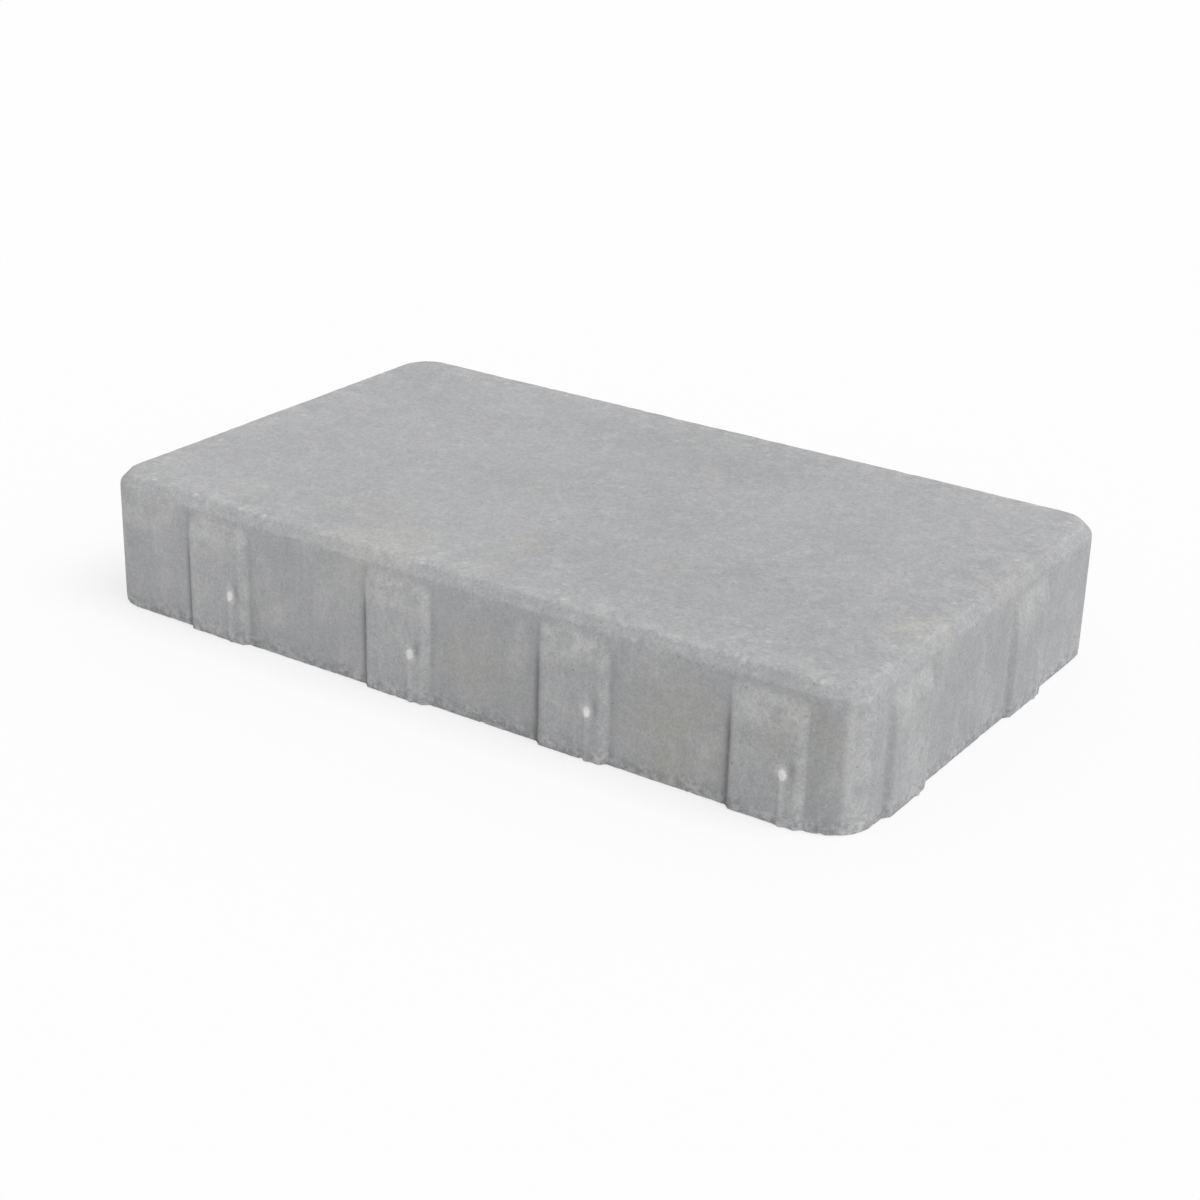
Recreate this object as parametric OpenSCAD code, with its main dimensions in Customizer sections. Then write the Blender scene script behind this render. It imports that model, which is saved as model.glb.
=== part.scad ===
// Concrete paving stone with spacer lugs, lying flat.
// Millimetres, +Z up, length along X, underside on Z = 0.
// Half a turn about Z brings the stone back onto itself.

/* [Stone] */

// Length of the stone between its two short sides, without lugs
body_length = 500; // [450:1:600]
// Width of the stone between its two long sides, without lugs
body_width = 300; // [260:1:400]
// Height from the underside to the walking face
body_height = 80; // [60:1:120]
// Radius of the four upright corners
corner_radius = 25; // [12:1:25]
// Bevel around the walking face, as far across as down
bevel = 6; // [3:0.5:7]
// Radius that rounds the two edges of the bevel
bevel_round = 3; // [1:0.5:4]

/* [Lugs] */

// Width of a lug where it leaves the side
lug_width = 45; // [34:1:45]
// Distance that a lug stands out from the side
lug_out = 3; // [2:0.5:5]
// Distance that each upright flank of a lug leans inwards
lug_slant = 3.5; // [1:0.5:5]
// Plain band between the bevel and the top of a lug
lug_top_gap = 4; // [2:0.5:8]
// Height of the slope that leads from the side out to the face of a lug
lug_slope = 12; // [6:0.5:16]
// Radius of the two upper corners of a lug
lug_round = 7; // [3:0.5:10]

/* [Lug places] */

// Distance from the right end of a long side to the middle of its nearest lug
long_end = 48; // [48:1:54]
// Distance from the left end of a short side to the middle of its nearest lug
short_end = 57; // [50:1:62]
// Play between the flanks of two stones laid long side to long side
long_play = 1.5; // [0.5:0.5:6]
// Play between the flanks of two stones laid short side to short side
short_play = 4; // [0.5:0.5:8]
// Share of a long side's lug row that each of the two steps at its right end takes
long_share = 0.32; // [0.3:0.01:0.34]

/* [Nibs] */

// Radius of the upright nib on a lug
nib_radius = 3; // [2.5:0.1:3.5]
// Distance that a nib stands out from the face of its lug
nib_out = 1; // [0.5:0.1:2]
// Height of a nib above the underside
nib_height = 33; // [20:1:36]
// Height of the pointed top of a nib
nib_tip = 6; // [3:0.5:10]
// Distance from the middle of a lug to its nib, to the right seen from outside
nib_offset = 11; // [5:0.5:12]

/* [Hidden] */

$fn = 64;

// depth to which lugs reach into the body
lug_root = 6;
concrete_grey = [0.62, 0.62, 0.61];

straight_length = body_length - 2 * corner_radius;
straight_width = body_width - 2 * corner_radius;
lug_top = body_height - bevel - lug_top_gap;
lug_foot = lug_top - lug_slope;

// from an edge of the bevel to where its rounding starts, and the same along the bevel
round_run = bevel_round * tan(22.5);
round_rise = round_run * sin(45);

// joint between two laid stones, and how far leaning flanks pass each other in it
joint = lug_out + nib_out;
flank_lap = lug_slant * joint / lug_out;

// long sides: the outer lug at each end stands close beside the outer lug of the next stone
long_close = lug_width - flank_lap + long_play;
long_row = body_length - 2 * long_end - long_close;
long_step = long_share * long_row;
long_places = [
    long_end + long_close,
    body_length - long_end - 2 * long_step,
    body_length - long_end - long_step,
    body_length - long_end
];

// short sides: two lugs, each close beside one lug of the next stone
short_close = lug_width - flank_lap + short_play;
short_places = [
    short_end,
    body_width - short_end - short_close
];

// upright half section out to a side, from the underside over the bevel to the walking face
module edge_section(reach) {
    polygon([
        [0, 0],
        [reach, 0],
        [reach, body_height - bevel - round_run],
        [reach - round_rise, body_height - bevel + round_rise],
        [reach - bevel + round_rise, body_height - round_rise],
        [reach - bevel - round_run, body_height],
        [0, body_height]
    ]);
    translate([reach - bevel_round, body_height - bevel - round_run])
        circle(r = bevel_round);
    translate([reach - bevel - round_run, body_height - bevel_round])
        circle(r = bevel_round);
}

// upright section through the stone, bevelled at both sides
module stone_section(span) {
    edge_section(span / 2);
    mirror([1, 0])
        edge_section(span / 2);
}

module corner(turn) {
    rotate([0, 0, turn])
        rotate_extrude(angle = 90)
            edge_section(corner_radius);
}

// block with rounded upright corners and a bevel around the walking face
module body() {
    translate([straight_length / 2, straight_width / 2, 0])
        corner(0);
    translate([-straight_length / 2, straight_width / 2, 0])
        corner(90);
    translate([-straight_length / 2, -straight_width / 2, 0])
        corner(180);
    translate([straight_length / 2, -straight_width / 2, 0])
        corner(270);
    translate([-straight_length / 2, 0, 0])
        rotate([90, 0, 90])
            linear_extrude(height = straight_length)
                stone_section(body_width);
    translate([0, straight_width / 2, 0])
        rotate([90, 0, 0])
            linear_extrude(height = straight_width)
                stone_section(body_length);
}

// lug seen from above: flanks lean inwards
module lug_plan() {
    polygon([
        [-lug_width / 2, lug_root],
        [-lug_width / 2, 0],
        [-lug_width / 2 + lug_slant, -lug_out],
        [lug_width / 2 - lug_slant, -lug_out],
        [lug_width / 2, 0],
        [lug_width / 2, lug_root]
    ]);
}

// lug seen from its flank: upright face, then the slope back to the side
module lug_flank() {
    polygon([
        [lug_root, 0],
        [lug_root, lug_top],
        [0, lug_top],
        [-lug_out, lug_foot],
        [-lug_out, 0]
    ]);
}

// lug seen from the front: upper corners rounded
module lug_front() {
    translate([-lug_width / 2, 0])
        square([lug_width, lug_top - lug_round]);
    translate([-lug_width / 2 + lug_round, 0])
        square([lug_width - 2 * lug_round, lug_top]);
    for (side = [-1, 1])
        translate([side * (lug_width / 2 - lug_round), lug_top - lug_round])
            circle(r = lug_round);
}

// upright rib that sets the joint between two stones
module nib() {
    translate([nib_offset, nib_radius - nib_out - lug_out, 0])
        rotate_extrude()
            polygon([
                [0, 0],
                [nib_radius, 0],
                [nib_radius, nib_height - nib_tip],
                [0, nib_height]
            ]);
}

// one lug with its nib, on a side that faces -Y
module lug() {
    intersection() {
        linear_extrude(height = body_height)
            lug_plan();
        translate([-lug_width, 0, 0])
            rotate([90, 0, 90])
                linear_extrude(height = 2 * lug_width)
                    lug_flank();
        translate([0, 2 * lug_root, 0])
            rotate([90, 0, 0])
                linear_extrude(height = 4 * lug_root)
                    lug_front();
    }
    nib();
}

// lugs of one long side and of the short side to its right
module side_pair() {
    for (place = long_places)
        translate([place - body_length / 2, -body_width / 2, 0])
            lug();
    for (place = short_places)
        translate([body_length / 2, place - body_width / 2, 0])
            rotate([0, 0, 90])
                lug();
}

module paving_stone() {
    color(concrete_grey)
        union() {
            body();
            side_pair();
            rotate([0, 0, 180])
                side_pair();
        }
}

paving_stone();
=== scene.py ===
"""Concrete paving stone with spacer lugs: cast surface, worn edges and a plain studio."""

import math
import random
from types import SimpleNamespace

import bmesh
import bpy
import numpy as np
from bpy.props import FloatProperty, FloatVectorProperty, IntProperty, PointerProperty
from mathutils import Matrix, Vector, noise


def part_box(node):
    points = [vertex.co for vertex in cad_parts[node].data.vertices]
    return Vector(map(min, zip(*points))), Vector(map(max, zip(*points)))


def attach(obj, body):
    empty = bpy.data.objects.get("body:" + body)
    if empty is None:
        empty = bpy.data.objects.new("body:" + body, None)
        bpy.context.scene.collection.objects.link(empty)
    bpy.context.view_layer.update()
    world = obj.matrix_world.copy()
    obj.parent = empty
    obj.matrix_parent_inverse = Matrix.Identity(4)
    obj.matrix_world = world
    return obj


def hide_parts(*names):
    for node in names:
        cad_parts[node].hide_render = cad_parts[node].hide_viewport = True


bl_info = {
    "name": "Concrete Paving Stone",
    "version": (1, 0, 0),
    "blender": (4, 5, 0),
    "location": "View3D > Sidebar > Paving Stone",
    "description": "Casts a concrete paving stone with spacer lugs and sets it in a plain studio",
    "category": "Add Mesh",
}

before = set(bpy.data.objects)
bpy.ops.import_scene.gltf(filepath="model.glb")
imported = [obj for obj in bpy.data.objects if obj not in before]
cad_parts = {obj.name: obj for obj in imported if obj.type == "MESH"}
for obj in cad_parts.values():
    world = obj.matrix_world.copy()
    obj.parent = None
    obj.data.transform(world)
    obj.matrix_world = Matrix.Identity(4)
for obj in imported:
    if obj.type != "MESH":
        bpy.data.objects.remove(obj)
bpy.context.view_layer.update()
STONE_LOW, STONE_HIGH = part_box("paving_stone")

MM = 0.001
LUG_REACH = 4 * MM

# Rings of points on the skin, in millimetres from the edge that they follow
FOOT_RINGS = (0.7, 1.5, 2.6, 4.0)
UNDERSIDE_RINGS = (0.8, 2.0, 4.0, 8.0, 14.0)
WALKING_RINGS = (1.4, 3.0, 5.2, 8.0, 11.4, 14.6)
ROUND_PARTS = 3
SLOPE_PARTS = 4

# Spacing of the other points
SIDE_STEP = 1.9 * MM
LUG_SLOPE_STEP = 1.7 * MM
FINE_STEP = 1.5 * MM
WALKING_GRID = 3.2 * MM
UNDERSIDE_GRID = 9 * MM

# Waves of the cast relief: depth in millimetres, size of a patch, shift of the pattern
SWELL = (0.16, 85 * MM, 1.3)
PITS = (0.06, 12 * MM, 5.1)
FINE_DRAG = (0.08, 2.6 * MM, 2.2)
BROAD_DRAG = (0.07, 8.5 * MM, 8.4)
SIDE_GRIT = (0.05, 2.8 * MM, 4.4)
WALKING_GRIT = (0.03, 3.4 * MM, 4.4)
DRAG_STRETCH = 0.06

# Chips: how many, smallest and largest radius in millimetres
BEVEL_CHIPS = (24, 1.4, 3.6)
FOOT_CHIPS = (30, 1.4, 3.8)

# Shares of paleness (bloom, with painted light on lug tops and right flanks), white nib tip (lime crust
# with a painted highlight) and painted shade beside lugs and nibs that the lugs of a side take on
LONG_SIDE_MARKS = (1.0, 1.0, 1.0)
SHORT_SIDE_MARKS = (0.6, 0.16, 0.15)
PALE_END = 190 * MM

# Olive stains: middle and radius
STAINS = (
    ((-0.055, -0.135, 0.080), 0.040),
    ((0.020, -0.150, 0.035), 0.025),
    ((0.150, -0.150, 0.030), 0.045),
    ((0.220, -0.152, 0.045), 0.034),
    ((0.238, -0.060, 0.080), 0.025),
)

# Noise patterns of the concrete: scale, detail and roughness
PATTERNS = {
    "clouds": (7.0, 4.0, 0.55),
    "tinge": (19.0, 3.0, 0.55),
    "blotch": (42.0, 6.0, 0.62),
    "smear": (85.0, 5.0, 0.62),
    "mottle": (105.0, 5.0, 0.7),
    "crumbs": (330.0, 3.0, 0.6),
    "grain": (620.0, 3.0, 0.6),
    "sand": (1500.0, 2.0, 0.6),
}

# Patterns that the mould draws out upright: scale across, scale up, detail and roughness
DRAWN_PATTERNS = {
    "streak": (300.0, 14.0, 4.0, 0.6),
    "run_mark": (70.0, 8.0, 3.0, 0.5),
    "veil": (48.0, 26.0, 7.0, 0.68),
}

KEY_DIRECTION = (0.49, 0.05, 0.87)
KEY_SPREAD = math.radians(40)
FLOOR_REACH = 8.0
FLOOR_DROP = 0.4 * MM
FLOOR_WHITE = (0.97, 0.97, 0.97, 1.0)
FLOOR_GLOW = 0.72


def length(name, description, default, low=0.0):
    """Property for a length in metres."""
    return FloatProperty(
        name=name, description=description, default=default, min=low, unit="LENGTH", precision=4
    )


def angle(name, description, degrees):
    """Property for an angle."""
    return FloatProperty(
        name=name, description=description, default=math.radians(degrees), subtype="ANGLE"
    )


def amount(name, description, default, top=1.0):
    """Property for a plain factor."""
    return FloatProperty(
        name=name, description=description, default=default, min=0.0, max=top, subtype="FACTOR"
    )


def tint(name, description, default):
    """Property for a colour."""
    return FloatVectorProperty(
        name=name, description=description, default=default, size=4, min=0.0, max=1.0, subtype="COLOR"
    )


class StoneSizes(bpy.types.PropertyGroup):
    """Sizes of the cast block, its lugs and its nibs."""

    body_length: length(
        "Length", "Length of the block without lugs", STONE_HIGH.x - STONE_LOW.x - 2 * LUG_REACH
    )
    body_width: length(
        "Width", "Width of the block without lugs", STONE_HIGH.y - STONE_LOW.y - 2 * LUG_REACH
    )
    body_height: length("Height", "Height of the block", STONE_HIGH.z - STONE_LOW.z)
    corner_radius: length("Corner radius", "Radius of the upright corners", 25 * MM)
    bevel: length("Bevel", "Bevel around the walking face, across and down", 6 * MM)
    bevel_round: length("Bevel rounding", "Radius of the two edges of the bevel", 3 * MM)
    lug_width: length("Lug width", "Width of a lug at the side", 45 * MM)
    lug_out: length("Lug depth", "Distance that a lug stands out", 3 * MM)
    lug_slant: length("Lug slant", "Lean of each flank of a lug", 3.5 * MM)
    lug_top: length("Lug top", "Height of the top of a lug above the underside", 70 * MM)
    lug_slope: length("Lug slope", "Height of the slope at the top of a lug", 12 * MM)
    lug_round: length("Lug rounding", "Radius of the upper corners of a lug", 7 * MM)
    nib_radius: length("Nib radius", "Radius of the rib on a lug", 3 * MM)
    nib_out: length("Nib depth", "Distance that a nib stands out from its lug", 1 * MM)
    nib_height: length("Nib height", "Height of a nib above the underside", 33 * MM)
    nib_tip: length("Nib tip", "Height of the pointed top of a nib", 6 * MM)
    nib_offset: length("Nib offset", "Distance from the middle of a lug to its nib", 11 * MM)
    long_end: length("Long side end", "Distance from the right end to the nearest lug", 48 * MM)
    long_close: length("Long side start", "Step between outer lugs of neighbours", 41.8333 * MM)
    long_share: amount("Long side share", "Share of the lug row in each right-hand step", 0.32)
    short_end: length("Short side end", "Distance from the left end to the nearest lug", 57 * MM)
    short_close: length("Short side start", "Step between lugs of neighbours", 44.3333 * MM)
    grain: length("Mesh grain", "Spacing of points along the sides", 1.3 * MM, 0.5 * MM)


class ConcreteFinish(bpy.types.PropertyGroup):
    """Colours and relief of the cast concrete."""

    cement: tint("Cement", "Main grey of the dry concrete", (0.436, 0.438, 0.448, 1.0))
    damp: tint("Damp", "Darker grey of the denser patches", (0.384, 0.387, 0.396, 1.0))
    # Pale grey for lime bloom on worn edges and side streaks, and for painted light on lug tops, lug right
    # flanks and the corners' lit halves
    bloom_and_painted_light: tint("Bloom", "Pale lime bloom on edges and lug tops", (0.58, 0.58, 0.58, 1.0))
    # Nearly white for the nib tips: a lime crust and a painted highlight on their upward faces
    lime_and_highlight: tint("Lime", "Nearly white crust on the nib tips", (0.80, 0.80, 0.79, 1.0))
    sand: tint("Sand", "Faint ochre of the sand", (0.43, 0.42, 0.35, 1.0))
    # Dark grey for pores, and for painted shade beside the lugs and nibs and on the corners' shaded halves
    grit_and_shade: tint("Grit", "Dark pores and dirt", (0.13, 0.13, 0.135, 1.0))
    wear: amount("Edge wear", "Depth of the wear along the bevel and the lower edge", 1.0, 3.0)
    relief: amount("Relief", "Strength of the cast relief", 1.0, 3.0)
    seed: IntProperty(
        name="Seed", description="Seed of the chips", default=7, min=0, subtype="UNSIGNED"
    )


class StudioSettings(bpy.types.PropertyGroup):
    """Camera and light."""

    azimuth: angle("Azimuth", "Camera turn to the right of the long side", 33.48)
    elevation: angle("Elevation", "Camera height angle", 23.25)
    roll: angle("Roll", "Camera roll", 1.67)
    distance: length("Distance", "Camera distance from the aim point", 1.33193)
    aim: FloatVectorProperty(
        name="Aim", description="Point in the middle of the picture",
        default=(0.00162, 0.00081, 0.01334), subtype="XYZ", unit="LENGTH",
    )
    lens: FloatProperty(
        name="Lens", description="Focal length on a 36 mm sensor", default=67.71, min=10.0, unit="CAMERA"
    )
    sky: amount("Sky", "Strength of the even light", 0.61, 2.0)
    key: amount("Key", "Strength of the key light", 1.37, 10.0)


# Stone shape


def plain(group):
    """Settings of a group as plain values, quick to read."""
    return SimpleNamespace(**{name: getattr(group, name) for name in group.__annotations__})


def stone_plan(group):
    """Plain sizes of the stone, with its lug centres from the left end seen from outside."""
    sizes = plain(group)
    last = sizes.body_length - sizes.long_end
    step = sizes.long_share * (last - sizes.long_end - sizes.long_close)
    sizes.long_side = [sizes.long_end + sizes.long_close, last - 2 * step, last - step, last]
    sizes.short_side = [sizes.short_end, sizes.body_width - sizes.short_end - sizes.short_close]
    return sizes


def corner_foot(place, sizes):
    """Foot of the rounded outline's radius at a place, and its outward direction."""
    reach_x = sizes.body_length / 2 - sizes.corner_radius
    reach_y = sizes.body_width / 2 - sizes.corner_radius
    foot = Vector((max(-reach_x, min(reach_x, place.x)), max(-reach_y, min(reach_y, place.y)), 0.0))
    out = Vector((place.x - foot.x, place.y - foot.y, 0.0))
    if abs(out.x) < 1e-6:
        out.x = 0.0
    if abs(out.y) < 1e-6:
        out.y = 0.0
    return foot, out.normalized()


def side_run(place, out, sizes):
    """Distance along a straight side from its left end, and the lug centres there."""
    if out.x == 0.0 and out.y != 0.0:
        return sizes.body_length / 2 - math.copysign(1.0, out.y) * place.x, sizes.long_side
    if out.y == 0.0 and out.x != 0.0:
        return sizes.body_width / 2 + math.copysign(1.0, out.x) * place.y, sizes.short_side
    return None, []


def lug_height(along, height, sizes):
    """How far a lug and its nib stand out, at a distance from the lug's middle."""
    half = sizes.lug_width / 2
    lean = sizes.lug_out / sizes.lug_slant
    from_flank = (half - abs(along)) * lean
    from_top = (sizes.lug_top - height) * sizes.lug_out / sizes.lug_slope
    across = abs(along) - (half - sizes.lug_round)
    above = height - (sizes.lug_top - sizes.lug_round)
    if across > 0.0 and above > 0.0:
        from_flank = min(from_flank, (sizes.lug_round - math.hypot(across, above)) * lean)
    rise = max(0.0, min(sizes.lug_out, from_flank, from_top))
    tip = min(1.0, (sizes.nib_height - height) / sizes.nib_tip)
    aside = along - sizes.nib_offset
    girth = sizes.nib_radius * max(0.0, tip)
    if girth > abs(aside):
        crest = math.sqrt(girth * girth - aside * aside) - (sizes.nib_radius - sizes.nib_out)
        rise += max(0.0, crest)
    return rise


def spaced(low, high, step):
    """Even heights from low to high, low left out."""
    count = max(1, round((high - low) / step))
    return [low + (high - low) * (i + 1) / count for i in range(count)]


def lug_cuts(sizes):
    """Places across a lug that need a point: its flanks and its nib."""
    half = sizes.lug_width / 2
    chord = math.sqrt(sizes.nib_radius ** 2 - (sizes.nib_radius - sizes.nib_out) ** 2)
    cuts = [-half, -half + sizes.lug_slant, half - sizes.lug_slant, half]
    return cuts + [sizes.nib_offset + share * chord for share in (-1.0, -0.5, 0.0, 0.5, 1.0)]


def split_side(bm, edge, sizes):
    """Splits one straight side at its lugs, and each stretch into short pieces."""
    middle = (edge.verts[0].co + edge.verts[1].co) / 2
    out = corner_foot(middle, sizes)[1]
    centres = side_run(middle, out, sizes)[1]
    runs = sorted(centre + cut for centre in centres for cut in lug_cuts(sizes))
    low, high = edge.verts
    if side_run(low.co, out, sizes)[0] > side_run(high.co, out, sizes)[0]:
        low, high = high, low
    rest, stretches = edge, []
    for run in runs:
        start, end = side_run(low.co, out, sizes)[0], side_run(high.co, out, sizes)[0]
        stretch, low = bmesh.utils.edge_split(rest, low, (run - start) / (end - start))
        stretches.append(stretch)
        rest = next(e for e in low.link_edges if e is not stretch)
    stretches.append(rest)
    for stretch in stretches:
        cuts = math.ceil(stretch.calc_length() / sizes.grain) - 1
        if cuts > 0:
            bmesh.ops.subdivide_edges(bm, edges=[stretch], cuts=cuts)


def cast_outline(bm, sizes):
    """Rounded rectangle, with points on every lug edge and between them."""
    bmesh.ops.create_grid(bm, x_segments=1, y_segments=1, size=0.5)
    bmesh.ops.scale(bm, vec=(sizes.body_length, sizes.body_width, 1.0), verts=bm.verts)
    bmesh.ops.bevel(
        bm, geom=bm.verts[:], offset=sizes.corner_radius, offset_type="OFFSET", affect="VERTICES",
        segments=round(sizes.corner_radius * math.pi / 2 / sizes.grain / 1.4), profile=0.5, material=-1,
    )
    for edge in [e for e in bm.edges if e.calc_length() > 2 * sizes.corner_radius]:
        split_side(bm, edge, sizes)
    bmesh.ops.delete(bm, geom=bm.faces[:], context="FACES_ONLY")


def draw_ring(bm, edges, inset, height, sizes):
    """Draws the open edge out to the next ring of the cast skin."""
    grown = bmesh.ops.extrude_edge_only(bm, edges=edges)["geom"]
    verts = {g for g in grown if isinstance(g, bmesh.types.BMVert)}
    for vert in verts:
        foot, out = corner_foot(vert.co, sizes)
        vert.co = foot + out * (sizes.corner_radius - inset)
        vert.co.z = height
    return [
        g for g in grown
        if isinstance(g, bmesh.types.BMEdge) and g.verts[0] in verts and g.verts[1] in verts
    ]


def close_face(bm, edges, step, sizes):
    """Closes a flat face and cuts it into a grid."""
    around = set(bm.faces)
    bmesh.ops.contextual_create(bm, geom=edges)
    for axis, reach in ((0, sizes.body_length / 2), (1, sizes.body_width / 2)):
        count = round(2 * reach / step)
        normal = Vector((0.0, 0.0, 0.0))
        normal[axis] = 1.0
        left = [face for face in bm.faces if face not in around]
        for i in range(1, count):
            place = Vector((0.0, 0.0, 0.0))
            place[axis] = -reach + 2 * reach * i / count
            corners = {vert for face in left for vert in face.verts}
            borders = {edge for face in left for edge in face.edges}
            cut = bmesh.ops.bisect_plane(
                bm, geom=[*left, *borders, *corners], dist=0.05 * MM, plane_co=place, plane_no=normal
            )["geom"]
            left = [
                part for part in cut
                if isinstance(part, bmesh.types.BMFace) and part.calc_center_median()[axis] > place[axis]
            ]


def bevel_steps(sizes):
    """Insets and heights over the bevel, from the side up to the walking face."""
    top, across, radius = sizes.body_height, sizes.bevel, sizes.bevel_round
    run = radius * math.tan(math.pi / 8)
    turns = [math.pi / 4 * part / ROUND_PARTS for part in range(2 * ROUND_PARTS + 1)]
    steps = [
        (radius * (1 - math.cos(turn)), top - across - run + radius * math.sin(turn))
        for turn in turns[1:ROUND_PARTS + 1]
    ]
    slope = across - 2 * run * math.sqrt(0.5)
    start_in, start_up = steps[-1]
    for part in range(1, SLOPE_PARTS):
        climb = slope * part / SLOPE_PARTS
        steps.append((start_in + climb, start_up + climb))
    steps += [
        (across + run - radius * math.cos(turn), top - radius + radius * math.sin(turn))
        for turn in turns[ROUND_PARTS:]
    ]
    return steps


def side_heights(sizes):
    """Heights of the rings on the sides, from the underside to the bevel's lower rounding."""
    foot = sizes.lug_top - sizes.lug_slope
    tip = sizes.nib_height - sizes.nib_tip
    shoulder = sizes.body_height - sizes.bevel - sizes.bevel_round * math.tan(math.pi / 8)
    heights = [ring * MM for ring in FOOT_RINGS]
    for end, step in (
        (tip, SIDE_STEP),
        (sizes.nib_height, FINE_STEP),
        (foot, SIDE_STEP),
        (sizes.lug_top, LUG_SLOPE_STEP),
        (shoulder, FINE_STEP),
    ):
        heights += spaced(heights[-1], end, step)
    return heights


def press_lugs(bm, sizes):
    """Pushes the sides out into lugs and nibs."""
    for vert in bm.verts:
        if vert.co.z > sizes.lug_top:
            continue
        foot, out = corner_foot(vert.co, sizes)
        if (vert.co.xy - foot.xy).length < sizes.corner_radius - 1e-5:
            continue
        run, centres = side_run(vert.co, out, sizes)
        if run is not None:
            vert.co += out * max(lug_height(run - centre, vert.co.z, sizes) for centre in centres)


def cast_block(sizes):
    """Skin of the cast block with its lugs, in rings from the underside to the walking face."""
    bm = bmesh.new()
    cast_outline(bm, sizes)
    rim = under = bm.edges[:]
    for inset in UNDERSIDE_RINGS:
        under = draw_ring(bm, under, inset * MM, 0.0, sizes)
    close_face(bm, under, UNDERSIDE_GRID, sizes)

    for height in side_heights(sizes):
        rim = draw_ring(bm, rim, 0.0, height, sizes)
    steps = bevel_steps(sizes)
    for inset, height in steps:
        rim = draw_ring(bm, rim, inset, height, sizes)
    for inset in WALKING_RINGS:
        rim = draw_ring(bm, rim, steps[-1][0] + inset * MM, sizes.body_height, sizes)
    close_face(bm, rim, WALKING_GRID, sizes)

    press_lugs(bm, sizes)
    bmesh.ops.remove_doubles(bm, verts=bm.verts[:], dist=0.02 * MM)
    bmesh.ops.recalc_face_normals(bm, faces=bm.faces[:])
    return bm


# Cast relief and marks


def patch(place, size, shift):
    """Smooth noise from -1 to 1, with patches of about the given size."""
    return noise.noise(place / size + Vector((shift, 3.7 * shift, 1.9 * shift)))


def wave(place, shape):
    """One wave of the relief at a point, in millimetres."""
    depth, size, shift = shape
    return depth * patch(place, size, shift)


def smooth(value, low, high):
    """Soft step from 0 to 1 as the value goes from low to high."""
    share = min(1.0, max(0.0, (value - low) / (high - low)))
    return share * share * (3.0 - 2.0 * share)


def bell(value, width):
    """Soft hump of the given half width."""
    return math.exp(-((value / width) ** 2))


def read_place(place, sizes):
    """Inset from the outline, outward direction, and distance along the skin to the bevel."""
    foot, out = corner_foot(place, sizes)
    inset = sizes.corner_radius - (place.xy - foot.xy).length
    if out.length == 0.0:
        inset = min(sizes.body_length / 2 - abs(place.x), sizes.body_width / 2 - abs(place.y))
    below = sizes.body_height - sizes.bevel - place.z
    from_bevel = max(0.0, below, inset - sizes.bevel)
    return inset, out, from_bevel


def bevel_wear(place):
    """Depth in millimetres that wear takes off the bevel at a point."""
    long_wear = max(0.0, patch(place, 34 * MM, 9.7) + 0.15)
    nibble = max(0.0, patch(place, 7.5 * MM, 6.6))
    return 0.1 + 0.55 * long_wear ** 1.5 + 0.32 * nibble + 0.1 * patch(place, 2.8 * MM, 12.6)


def foot_wear(place):
    """Depth in millimetres that crumbles off the lower edge at a point."""
    crumb = max(0.0, patch(place, 7.5 * MM, 3.3))
    return 0.2 + 0.5 * crumb ** 1.4 + 0.15 * patch(place, 2.2 * MM, 7.1)


def cast_relief(place, normal, sizes, finish):
    """Shift of one point in or out: swell, grit, drag lines and worn edges."""
    inset, _, from_bevel = read_place(place, sizes)
    shift = wave(place, SWELL) + wave(place, PITS)
    if abs(normal.z) < 0.5:
        drawn = Vector((place.x, place.y, place.z * DRAG_STRETCH))
        shift += wave(drawn, FINE_DRAG) + wave(drawn, BROAD_DRAG) + wave(place, SIDE_GRIT)
    else:
        shift += wave(place, WALKING_GRIT)
    edge = bell(from_bevel, 3.5 * MM) if place.z > sizes.body_height / 2 else 0.0
    if edge > 0.01:
        shift -= finish.wear * edge * bevel_wear(place)
    low = bell(place.z, 2.2 * MM) * bell(max(inset, 0.0), 3 * MM)
    if low > 0.01:
        shift -= finish.wear * low * foot_wear(place)
    return normal * (shift * finish.relief * MM)


def edge_chips(sizes, finish):
    """Small spheres that bite into the bevel and the lower edge: centre and radius."""
    dice = random.Random(finish.seed)
    reach = Vector((sizes.body_length / 2, sizes.body_width / 2))
    chips = []
    for (count, smallest, largest), level, up in (
        (BEVEL_CHIPS, sizes.body_height, 1.0),
        (FOOT_CHIPS, 0.0, -1.0),
    ):
        for _ in range(count):
            run = dice.uniform(0.0, reach.x + reach.y)
            turn = dice.choice((-1.0, 1.0))
            across = dice.uniform(-1.0, 1.0)
            if run < reach.x:
                place = Vector((across * reach.x, turn * reach.y, 0.0))
            else:
                place = Vector((turn * reach.x, across * reach.y, 0.0))
            foot, out = corner_foot(place, sizes)
            rim = foot + out * sizes.corner_radius
            rim.z = level
            lean = (out + Vector((0.0, 0.0, up))).normalized()
            slip = (out - Vector((0.0, 0.0, up))).normalized() * dice.uniform(-0.45, 0.45)
            radius = dice.uniform(smallest, largest) * MM
            bite = radius * dice.uniform(0.15, 0.35)
            if up > 0.0:
                rim += (slip - lean * math.sqrt(0.5)) * sizes.bevel
            chips.append((rim + lean * (radius - bite), radius))
    return chips


def nib_marks(aside, under_tip):
    """Pale stem, white tip (lime crust and painted highlight) and painted shadow to the nib's right,
    beside a nib and below its tip.
    """
    stem = 0.5 * bell(aside, 1.8 * MM) * smooth(under_tip, 5 * MM, 9 * MM)
    # White tip: lime crust, and a painted highlight on the nib's upward face
    tip = 2.0 * bell(aside, 3.6 * MM) * bell(under_tip - 4.5 * MM, 4.4 * MM)
    # Painted shadow just right of the nib, near its tip
    behind = 0.5 * bell(aside - 4.8 * MM, 1.8 * MM) * bell(under_tip - 1 * MM, 5 * MM)
    return stem, tip, behind


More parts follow.
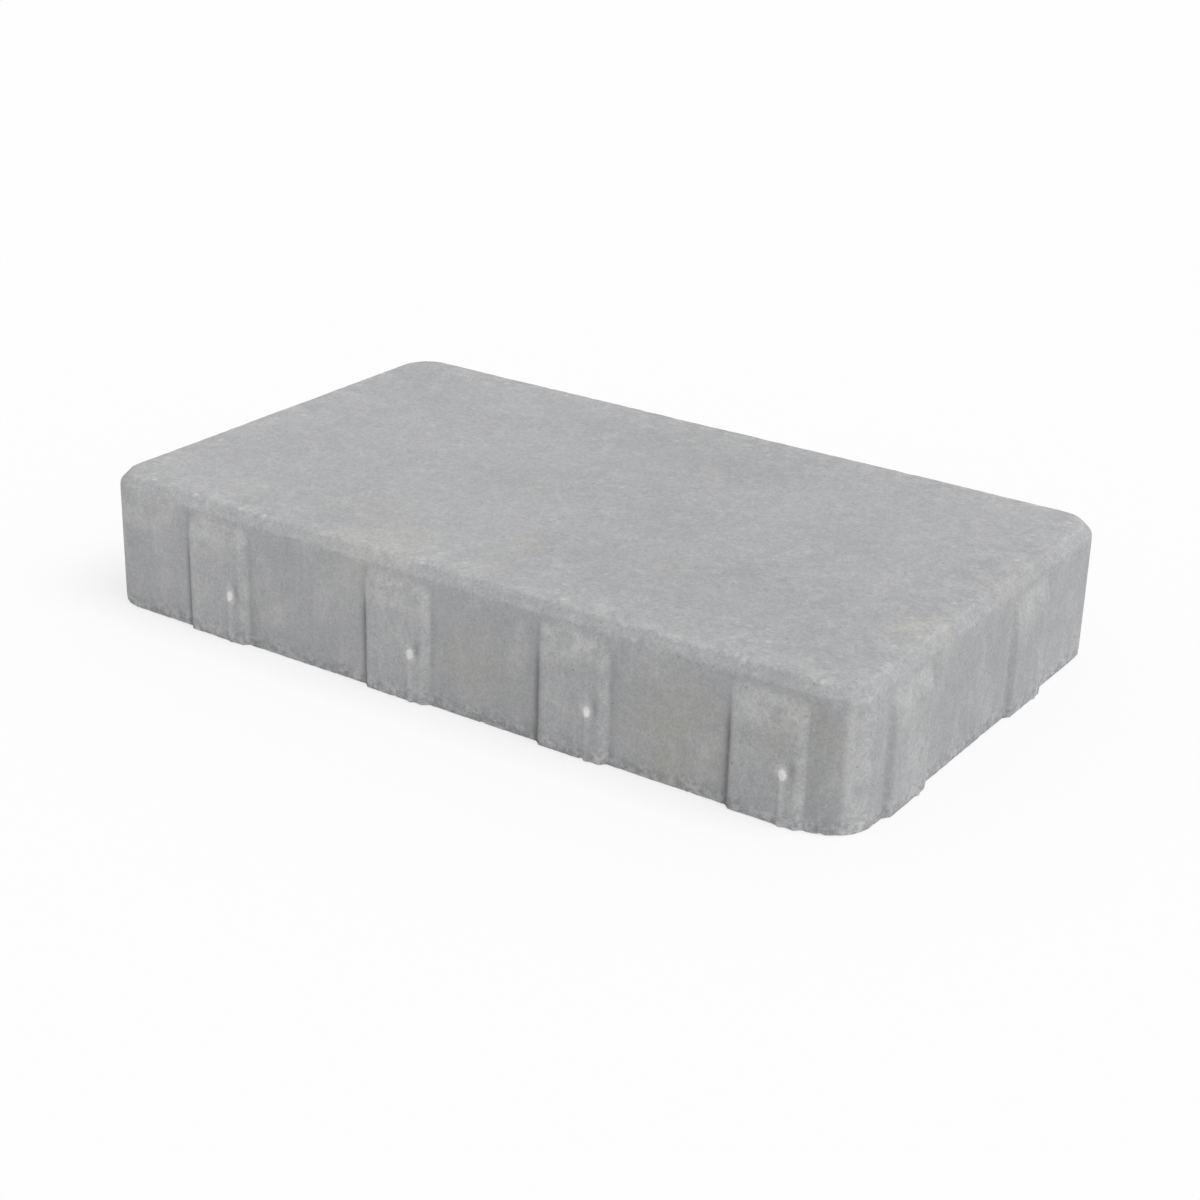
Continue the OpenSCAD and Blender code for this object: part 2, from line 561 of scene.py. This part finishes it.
def lug_marks(along, height, sizes):
    """Paleness (bloom and painted light), white nib tip and painted shade that one lug and its nib take
    on.
    """
    half = sizes.lug_width / 2
    below = sizes.lug_top - height
    if below < -2 * MM or abs(along) > half + 6 * MM:
        return 0.0, 0.0, 0.0
    inside = smooth(half - abs(along), -1 * MM, 4 * MM)
    # Pale lug top: bloom, and painted light on its upward slope
    crown = 0.6 * inside * smooth(below, 30 * MM, 6 * MM) * smooth(below, -2 * MM, 2 * MM)
    # Painted light on the lug's right flank
    flank = smooth(along, half - 8 * MM, half - 3 * MM) * smooth(along, half + 0.8 * MM, half - 0.4 * MM)
    flank *= 0.46 * smooth(below, 0.0, 8 * MM)
    # Painted shade: dark line along the lug's left flank and the recess beside it, fading towards the top
    left = bell(along + half - 1 * MM, 2.3 * MM) * (0.15 + 0.75 * smooth(below, 10 * MM, 30 * MM))
    # Painted shade in the recess just right of the lug
    right = 0.16 * bell(along - half - 2.2 * MM, 1.8 * MM) * smooth(below, 2 * MM, 10 * MM)
    stem, tip, behind = nib_marks(along - sizes.nib_offset, sizes.nib_height - height)
    return max(crown, flank, stem, 0.14 * inside), tip, max(left, right, behind)


def side_marks(place, out, sizes):
    """Paleness (bloom and painted light) and painted shade at one point of a side."""
    run, centres = side_run(place, out, sizes)
    bloom_and_painted_light, white, shade_strength = LONG_SIDE_MARKS if centres is sizes.long_side else SHORT_SIDE_MARKS
    pale, soil = 0.0, 0.0
    for centre in centres:
        lug_pale, tip, lug_soil = lug_marks(run - centre, place.z, sizes)
        pale = max(pale, bloom_and_painted_light * lug_pale, white * tip)
        soil = max(soil, shade_strength * lug_soil)

    # Paler upper band towards the left end of each long side
    leftwards = -place.x if place.y < 0.0 else place.x
    end = smooth(leftwards, PALE_END - 4 * MM, PALE_END + 6 * MM) * smooth(abs(out.y), 0.2, 0.6)
    pale = max(pale, 0.42 * end * smooth(place.z, 48 * MM, 55 * MM))
    # Painted light on the half of the front-right and back-left corners that turns to the short side,
    # painted shade on the half that turns to the long side
    if out.x * out.y < 0.0:
        turned = abs(out.x)
        pale = max(pale, 0.4 * smooth(turned, 0.62, 0.74) * smooth(abs(out.y), 0.1, 0.35))
        soil = max(soil, 0.16 * smooth(turned, 0.0, 0.2) * smooth(turned, 0.72, 0.6))
    return pale, soil


def skin_marks(place, sizes):
    """Masks at one point: worn rim, half the paleness (bloom and painted light), painted shade and moulded
    side.
    """
    inset, out, from_bevel = read_place(place, sizes)
    on_side = inset < 0.3 * sizes.bevel and place.z < sizes.body_height - sizes.bevel
    worn = 0.0
    if place.z > sizes.body_height / 2:
        worn = math.exp(-from_bevel / ((4 if on_side else 30) * MM))
        worn *= 1.0 - 0.55 * smooth(sizes.body_height - place.z, 0.5 * MM, 2 * MM)
    if not on_side:
        return worn, 0.0, 0.0, 0.0
    pale, soil = side_marks(place, out, sizes)
    return worn, pale / 2, soil, 1.0


def weather(mesh, sizes, finish):
    """Moves the skin by its relief and its chips, and stores the marks on it."""
    places = [vert.co.copy() for vert in mesh.vertices]
    normals = [vert.normal.copy() for vert in mesh.vertices]
    marks = np.array([skin_marks(place, sizes) for place in places], np.float32)
    moved = np.array(
        [place + cast_relief(place, normal, sizes, finish) for place, normal in zip(places, normals)]
    )
    rough = np.array([patch(place, 1.6 * MM, 11.2) for place in places])
    for centre, radius in edge_chips(sizes, finish):
        away = moved - np.array(centre)
        gap = np.linalg.norm(away, axis=1)
        reach = radius * (1.0 + 0.16 * rough)
        inside = gap < reach
        moved[inside] += away[inside] * ((reach - gap)[inside] / gap[inside])[:, None]
    mesh.vertices.foreach_set("co", moved.astype(np.float32).ravel())
    layer = mesh.attributes.new("marks", "FLOAT_COLOR", "POINT")
    layer.data.foreach_set("color", marks.ravel())
    mesh.update()


# Concrete


class NodeBoard:
    """Short calls for the nodes of a material or a world."""

    def __init__(self, owner):
        owner.use_nodes = True
        self.nodes = owner.node_tree.nodes
        self.links = owner.node_tree.links

    def node(self, kind, **inputs):
        """Node with its inputs set, where _ stands for a space in an input's name."""
        made = self.nodes.new(kind)
        for name, value in inputs.items():
            self.feed(made.inputs[name.replace("_", " ")], value)
        return made

    def feed(self, socket, value):
        """Links a socket to another one, or sets it to a value."""
        if isinstance(value, bpy.types.NodeSocket):
            self.links.new(value, socket)
        else:
            socket.default_value = value

    def math(self, operation, first, second=0.0, third=0.0, clamp=False):
        """Sum, product or comparison of values."""
        made = self.nodes.new("ShaderNodeMath")
        made.operation = operation
        made.use_clamp = clamp
        for socket, value in zip(made.inputs, (first, second, third)):
            self.feed(socket, value)
        return made.outputs[0]

    def noise(self, place, scale, detail, roughness):
        """Noise from about 0.3 to 0.7."""
        return self.node(
            "ShaderNodeTexNoise", Vector=place, Scale=scale, Detail=detail, Roughness=roughness
        ).outputs["Fac"]

    def specks(self, place, scale, core, rim):
        """Chance from 0 to 1 for each of many scattered dots, and the dots."""
        made = self.node("ShaderNodeTexVoronoi", Vector=place, Scale=scale)
        chance = self.node("ShaderNodeSeparateColor", Color=made.outputs["Color"]).outputs[0]
        return chance, self.level(made.outputs["Distance"], core, rim, 1.0, 0.0)

    def level(self, value, low, high, to_low=0.0, to_high=1.0):
        """Soft step between two levels as the value goes from low to high."""
        made = self.node("ShaderNodeMapRange", Value=value, From_Min=low, From_Max=high,
                         To_Min=to_low, To_Max=to_high)
        made.interpolation_type = "SMOOTHSTEP"
        return made.outputs["Result"]

    def blend(self, factor, first, second, mode="MIX"):
        """Blend of two colours."""
        made = self.nodes.new("ShaderNodeMix")
        made.data_type = "RGBA"
        made.blend_type = mode
        for index, value in ((0, factor), (6, first), (7, second)):
            self.feed(made.inputs[index], value)
        return made.outputs[2]


def concrete_patterns(board):
    """Patterns that colour and relief share: marks of the skin, noise, pores and pale stones."""
    place = board.nodes.new("ShaderNodeTexCoord").outputs["Object"]
    look = SimpleNamespace(place=place)
    for name, (scale, detail, roughness) in PATTERNS.items():
        setattr(look, name, board.noise(place, scale, detail, roughness))
    for name, (across, up, detail, roughness) in DRAWN_PATTERNS.items():
        drawn = board.node("ShaderNodeMapping", Vector=place, Scale=(across, across, up))
        setattr(look, name, board.noise(drawn.outputs[0], 1.0, detail, roughness))

    marks = board.nodes.new("ShaderNodeAttribute")
    marks.attribute_name = "marks"
    split = board.node("ShaderNodeSeparateColor", Color=marks.outputs["Color"])
    # Channels: worn rim, paleness that is partly painted light, and painted shade
    look.worn, look.pale, look.soil = split.outputs
    look.side = marks.outputs["Alpha"]
    height = board.node("ShaderNodeSeparateXYZ", Vector=place).outputs["Z"]
    look.foot = board.math("MULTIPLY", look.side, board.level(height, 2 * MM, 12 * MM, 1.0, 0.0))

    chance, dot = board.specks(place, 260.0, 0.1, 0.22)
    look.pore = board.math("MULTIPLY", board.math("GREATER_THAN", chance, 0.93), dot)
    look.bright = board.math("MULTIPLY", board.math("LESS_THAN", chance, 0.05), dot)
    chance, dot = board.specks(place, 115.0, 0.1, 0.3)
    bared = board.math("MULTIPLY", board.math("LESS_THAN", chance, 0.24), dot)
    look.bared = board.math("MULTIPLY", bared, look.worn)
    return look


def stain_mask(board, look):
    """Faint tinge all over, and the olive stains."""
    mask = board.level(look.tinge, 0.56, 0.74, 0.0, 0.2)
    uneven = board.level(look.blotch, 0.3, 0.6)
    for centre, radius in STAINS:
        gap = board.nodes.new("ShaderNodeVectorMath")
        gap.operation = "DISTANCE"
        board.feed(gap.inputs[0], look.place)
        board.feed(gap.inputs[1], centre)
        spot = board.level(gap.outputs["Value"], 0.3 * radius, radius, 0.4, 0.0)
        mask = board.math("MAXIMUM", mask, board.math("MULTIPLY", spot, uneven))
    return mask


def cast_coats(board, look, finish):
    """Coats of the casting: denser patches, stains, and the mould's marks on the sides."""
    side = look.side
    return (
        (board.level(look.blotch, 0.38, 0.7, 0.0, 0.3), finish.damp),
        (stain_mask(board, look), finish.sand),
        (board.math("MULTIPLY", side, board.level(look.run_mark, 0.4, 0.66, 0.0, 0.5)), finish.damp),
        (board.math("MULTIPLY", side, board.level(look.streak, 0.56, 0.78, 0.0, 0.22)), finish.bloom_and_painted_light),
        (board.math("MULTIPLY", side, board.level(look.veil, 0.44, 0.70, 0.0, 0.34)), finish.bloom_and_painted_light),
    )


def bloom_and_light_coats(board, look, finish):
    """Coats of lime and painted light: film and crust on lugs and nibs, with painted light on lug tops,
    right flanks and corners and a painted highlight on nib tips, patches on the walking face, pale rim.
    """
    film = board.level(look.smear, 0.36, 0.62, 0.35, 2.2)
    walking = board.math("SUBTRACT", 1.0, look.side)
    patchy = board.math("MULTIPLY", walking, board.level(look.mottle, 0.4, 0.72, 0.0, 0.34))
    crest = board.math("POWER", look.worn, 3.0)
    return (
        # Pale film: bloom, and painted light on lug tops, right flanks and corners
        (board.math("MULTIPLY", look.pale, film, clamp=True), finish.bloom_and_painted_light),
        # Nib tips: lime crust and painted highlight
        (board.level(look.pale, 0.5, 0.85), finish.lime_and_highlight),
        (board.math("MULTIPLY", patchy, board.level(look.blotch, 0.36, 0.6, 0.3, 1.0)), finish.bloom_and_painted_light),
        (board.math("MULTIPLY", look.worn, board.level(look.smear, 0.36, 0.72, 0.08, 0.54)), finish.bloom_and_painted_light),
        (board.math("MULTIPLY", crest, board.level(look.crumbs, 0.42, 0.68, 0.0, 0.12)), finish.bloom_and_painted_light),
    )


def shade_and_grit_coats(board, look, finish):
    """Coats of painted shade and grit: painted shade beside lugs, nibs and corners, pores, bright sand and
    the stones that wear has bared.
    """
    shade_strength = board.level(look.grain, 0.3, 0.62, 0.6, 0.95)
    return (
        # Painted shade, broken up by the grain
        (board.math("MULTIPLY", look.soil, shade_strength, clamp=True), finish.grit_and_shade),
        (board.math("MULTIPLY", look.pore, 0.22), finish.grit_and_shade),
        (board.math("MULTIPLY", look.bright, 0.35), finish.bloom_and_painted_light),
        (board.math("MULTIPLY", look.bared, 0.95), finish.bloom_and_painted_light),
    )


def concrete_colour(board, look, finish):
    """Grey of the concrete under all its coats, shaded by its grains."""
    colour = board.blend(board.level(look.clouds, 0.36, 0.66), finish.cement, finish.damp)
    for coats in (cast_coats, bloom_and_light_coats, shade_and_grit_coats):
        for mask, tone in coats(board, look, finish):
            colour = board.blend(mask, colour, tone)
    shade = board.math("MULTIPLY_ADD", look.foot, board.level(look.crumbs, 0.36, 0.64, -0.16, 0.15), 1.0)
    for grains in (
        board.level(look.sand, 0.3, 0.7, 0.92, 1.08),
        board.level(look.grain, 0.32, 0.68, 0.93, 1.07),
        board.level(look.crumbs, 0.34, 0.66, 0.96, 1.04),
    ):
        shade = board.math("MULTIPLY", shade, grains)
    grey = board.node("ShaderNodeCombineColor", Red=shade, Green=shade, Blue=shade).outputs[0]
    return board.blend(1.0, colour, grey, "MULTIPLY")


def concrete_bump(board, look):
    """Fine relief, below the size of the mesh."""
    rise = 0.0
    for layer, share in (
        (look.grain, 0.8),
        (look.sand, 0.35),
        (look.crumbs, 0.5),
        (look.blotch, 0.5),
        (board.math("MULTIPLY", look.streak, look.side), 0.5),
        (board.math("MULTIPLY", look.crumbs, look.foot), 2.0),
        (look.pore, -0.8),
    ):
        rise = board.math("MULTIPLY_ADD", layer, share, rise)
    return board.node("ShaderNodeBump", Height=rise, Strength=0.5, Distance=0.6 * MM).outputs[0]


def cast_concrete(finish):
    """Matt grey concrete: clouds, sand grain, pores, bloom on worn edges, painted light and painted shade
    on lugs, nibs and corners.
    """
    material = bpy.data.materials.new("cast_concrete")
    board = NodeBoard(material)
    look = concrete_patterns(board)
    shader = board.nodes["Principled BSDF"]
    board.feed(shader.inputs["Base Color"], concrete_colour(board, look, finish))
    board.feed(shader.inputs["Roughness"], board.level(look.blotch, 0.3, 0.7, 0.82, 0.95))
    board.feed(shader.inputs["Normal"], concrete_bump(board, look))
    shader.inputs["Specular IOR Level"].default_value = 0.25
    return material


class PAVING_OT_cast_stone(bpy.types.Operator):
    """Casts the stone with its lugs and gives it its concrete"""

    bl_idname = "paving.cast_stone"
    bl_label = "Cast Stone"

    def execute(self, context):
        sizes = stone_plan(context.scene.stone_sizes)
        finish = context.scene.concrete_finish
        bm = cast_block(sizes)
        mesh = bpy.data.meshes.new("cast_stone")
        bm.to_mesh(mesh)
        bm.free()
        mesh.shade_smooth()
        weather(mesh, sizes, plain(finish))
        mesh.materials.append(cast_concrete(finish))
        stone = bpy.data.objects.new("cast_stone", mesh)
        context.scene.collection.objects.link(stone)
        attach(stone, "root")
        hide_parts("paving_stone")
        return {"FINISHED"}


# Studio


def set_camera(scene, studio):
    """Camera turned about the aim point."""
    data = bpy.data.cameras.new("camera")
    data.sensor_fit = "HORIZONTAL"
    data.sensor_width = 36.0
    data.lens = studio.lens
    data.clip_end = 100.0
    camera = bpy.data.objects.new("camera", data)
    scene.collection.objects.link(camera)
    turn = (
        Matrix.Rotation(studio.azimuth, 3, "Z")
        @ Matrix.Rotation(math.pi / 2 - studio.elevation, 3, "X")
        @ Matrix.Rotation(studio.roll, 3, "Z")
    )
    camera.location = Vector(studio.aim) + turn @ Vector((0.0, 0.0, studio.distance))
    camera.rotation_euler = turn.to_euler()
    scene.camera = camera


def hang_key(scene, strength):
    """Broad key light from the upper right."""
    data = bpy.data.lights.new("key", "SUN")
    data.energy = strength
    data.angle = KEY_SPREAD
    key = bpy.data.objects.new("key", data)
    scene.collection.objects.link(key)
    key.rotation_euler = Vector(KEY_DIRECTION).to_track_quat("Z", "Y").to_euler()


def seen_directly(board):
    """1 for rays that show the background: from the camera, in gloss or through glass."""
    path = board.nodes.new("ShaderNodeLightPath")
    seen = board.math("MAXIMUM", path.outputs["Is Camera Ray"], path.outputs["Is Glossy Ray"])
    return board.math("MAXIMUM", seen, path.outputs["Is Transmission Ray"])


def studio_sky(strength):
    """Even white light, plain white where it is seen."""
    world = bpy.data.worlds.new("studio_sky")
    board = NodeBoard(world)
    background = board.nodes["Background"]
    background.inputs["Color"].default_value = (1.0, 1.0, 1.0, 1.0)
    level = board.node("ShaderNodeMapRange", Value=seen_directly(board), To_Min=strength, To_Max=1.0)
    board.feed(background.inputs["Strength"], level.outputs["Result"])
    return world


def studio_floor():
    """White floor that keeps a soft shadow."""
    material = bpy.data.materials.new("studio_floor")
    board = NodeBoard(material)
    shader = board.nodes["Principled BSDF"]
    shader.inputs["Base Color"].default_value = FLOOR_WHITE
    shader.inputs["Roughness"].default_value = 1.0
    shader.inputs["Specular IOR Level"].default_value = 0.0
    glow = board.nodes.new("ShaderNodeEmission")
    mix = board.nodes.new("ShaderNodeMixShader")
    board.feed(mix.inputs["Fac"], board.math("MULTIPLY", seen_directly(board), FLOOR_GLOW))
    board.feed(mix.inputs[1], shader.outputs[0])
    board.feed(mix.inputs[2], glow.outputs[0])
    board.feed(board.nodes["Material Output"].inputs["Surface"], mix.outputs[0])
    return material


def lay_floor(scene):
    """Wide floor just under the stone."""
    bm = bmesh.new()
    bmesh.ops.create_grid(bm, x_segments=1, y_segments=1, size=FLOOR_REACH)
    bmesh.ops.translate(bm, vec=(0.0, 0.0, -FLOOR_DROP), verts=bm.verts)
    mesh = bpy.data.meshes.new("floor")
    bm.to_mesh(mesh)
    bm.free()
    mesh.materials.append(studio_floor())
    floor = bpy.data.objects.new("floor", mesh)
    scene.collection.objects.link(floor)


class PAVING_OT_studio(bpy.types.Operator):
    """Sets the floor, the lights and the camera"""

    bl_idname = "paving.studio"
    bl_label = "Set Studio"

    def execute(self, context):
        scene = context.scene
        studio = scene.studio_settings
        scene.view_settings.view_transform = "Standard"
        set_camera(scene, studio)
        lay_floor(scene)
        scene.world = studio_sky(studio.sky)
        hang_key(scene, studio.key)
        return {"FINISHED"}


class PAVING_PT_sidebar(bpy.types.Panel):
    """Sidebar with the stone's sizes, its finish and the studio"""

    bl_idname = "PAVING_PT_sidebar"
    bl_label = "Paving Stone"
    bl_space_type = "VIEW_3D"
    bl_region_type = "UI"
    bl_category = "Paving Stone"

    def draw(self, context):
        for group, operator in (
            (context.scene.stone_sizes, None),
            (context.scene.concrete_finish, PAVING_OT_cast_stone),
            (context.scene.studio_settings, PAVING_OT_studio),
        ):
            box = self.layout.box()
            for name in group.__annotations__:
                box.prop(group, name)
            if operator is not None:
                box.operator(operator.bl_idname)


CLASSES = (
    StoneSizes,
    ConcreteFinish,
    StudioSettings,
    PAVING_OT_cast_stone,
    PAVING_OT_studio,
    PAVING_PT_sidebar,
)


def register():
    for cls in CLASSES:
        bpy.utils.register_class(cls)
    bpy.types.Scene.stone_sizes = PointerProperty(type=StoneSizes)
    bpy.types.Scene.concrete_finish = PointerProperty(type=ConcreteFinish)
    bpy.types.Scene.studio_settings = PointerProperty(type=StudioSettings)


def unregister():
    del bpy.types.Scene.studio_settings
    del bpy.types.Scene.concrete_finish
    del bpy.types.Scene.stone_sizes
    for cls in reversed(CLASSES):
        bpy.utils.unregister_class(cls)


def main():
    register()
    bpy.ops.paving.cast_stone()
    bpy.ops.paving.studio()


if __name__ == "__main__":
    main()
